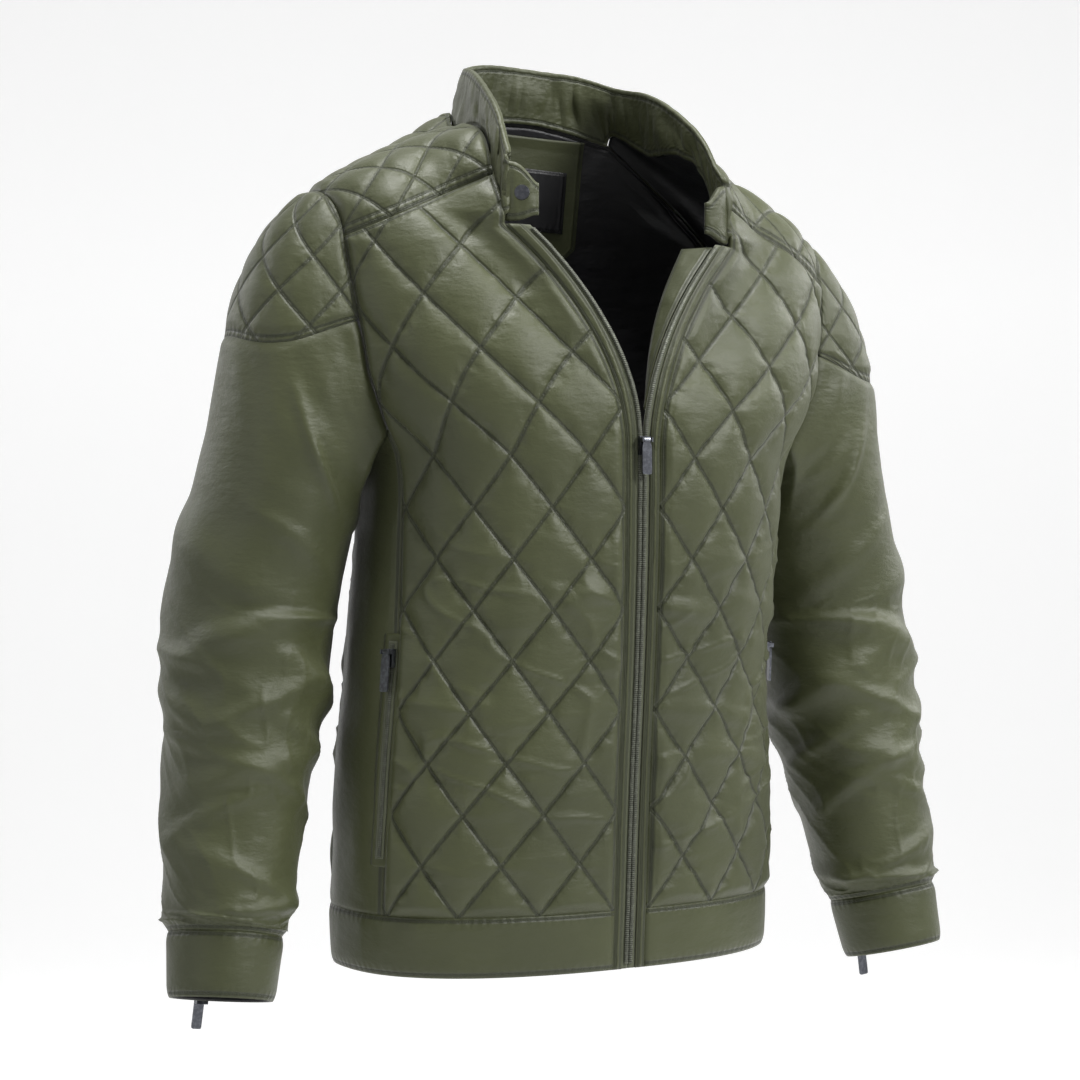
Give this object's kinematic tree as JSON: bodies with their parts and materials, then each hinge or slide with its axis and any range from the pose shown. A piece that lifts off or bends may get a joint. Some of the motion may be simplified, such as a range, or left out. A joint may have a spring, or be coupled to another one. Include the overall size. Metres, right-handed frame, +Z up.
{
  "type": "quilted jacket",
  "caption": "Stand-collar jacket with diamond-quilted body, plain sleeves and side panels, front zip open to the chest and zipped side pockets.",
  "frame": {"origin": "midway between the two side-neck points, where the shoulders of the wearer or a hanger carry the jacket", "axes": "+Z up, the front faces -Y, the wearer's left is +X"},
  "size_m": [0.6594, 0.264, 0.7645],
  "materials": {
    "quilted_shell": "olive green quilted nylon, satin",
    "plain_shell": "olive green plain nylon, satin",
    "lining": "black polyester lining, soft sheen",
    "zip_tape": "olive zip tape with coil teeth",
    "dark_metal": "dark gunmetal, polished"
  },
  "bodies": {
    "root": {"front_left": "quilted_shell", "front_right": "quilted_shell", "side_panel_left": "plain_shell", "side_panel_right": "plain_shell", "back": "quilted_shell", "yoke_left": "quilted_shell", "yoke_right": "quilted_shell", "sleeve_cap_left": "quilted_shell", "sleeve_cap_right": "quilted_shell", "sleeve_left": "plain_shell", "sleeve_right": "plain_shell", "cuff_left": "plain_shell", "cuff_right": "plain_shell", "hem_band": "plain_shell", "placket_left": "plain_shell", "placket_right": "plain_shell", "zip_left": "zip_tape", "zip_right": "zip_tape", "facing_left": "plain_shell", "facing_right": "plain_shell", "collar": "plain_shell", "lining": "lining", "patch": "plain_shell", "label": "lining", "pocket_welt_left": "plain_shell", "pocket_welt_right": "plain_shell", "pocket_zip_left": "zip_tape", "pocket_zip_right": "zip_tape", "cuff_zip_left": "zip_tape", "cuff_zip_right": "zip_tape", "front_slider": "dark_metal", "pocket_left_slider": "dark_metal", "cuff_left_slider": "dark_metal", "pocket_right_slider": "dark_metal", "cuff_right_slider": "dark_metal", "stud_left": "dark_metal", "stud_right": "dark_metal"},
    "front_tab": {"front_pull": "dark_metal"},
    "pocket_left_tab": {"pocket_left_pull": "dark_metal"},
    "cuff_left_tab": {"cuff_left_pull": "dark_metal"},
    "pocket_right_tab": {"pocket_right_pull": "dark_metal"},
    "cuff_right_tab": {"cuff_right_pull": "dark_metal"}
  },
  "joints": [
    {"name": "front_tab_swing", "type": "hinge", "parent": "root", "child": "front_tab", "pos_m": [0, -0.14691, -0.25102], "axis": [-1, -0.0001, 0], "range_deg": [0, 150]},
    {"name": "pocket_left_tab_swing", "type": "hinge", "parent": "root", "child": "pocket_left_tab", "pos_m": [0.16785, -0.03458, -0.4108], "axis": [-0.2389, -0.9601, -0.1453], "range_deg": [-1.6, 148.4]},
    {"name": "cuff_left_tab_swing", "type": "hinge", "parent": "root", "child": "cuff_left_tab", "pos_m": [0.29213, 0.02985, -0.66908], "axis": [0.992, 0.0001, 0.1262], "range_deg": [-14, 136]},
    {"name": "pocket_right_tab_swing", "type": "hinge", "parent": "root", "child": "pocket_right_tab", "pos_m": [-0.17877, -0.07013, -0.4093], "axis": [-0.4382, 0.8983, -0.0337], "range_deg": [0, 150]},
    {"name": "cuff_right_tab_swing", "type": "hinge", "parent": "root", "child": "cuff_right_tab", "pos_m": [-0.29213, 0.02985, -0.66908], "axis": [0.992, -0.0001, -0.1262], "range_deg": [-14, 136]}
  ]
}
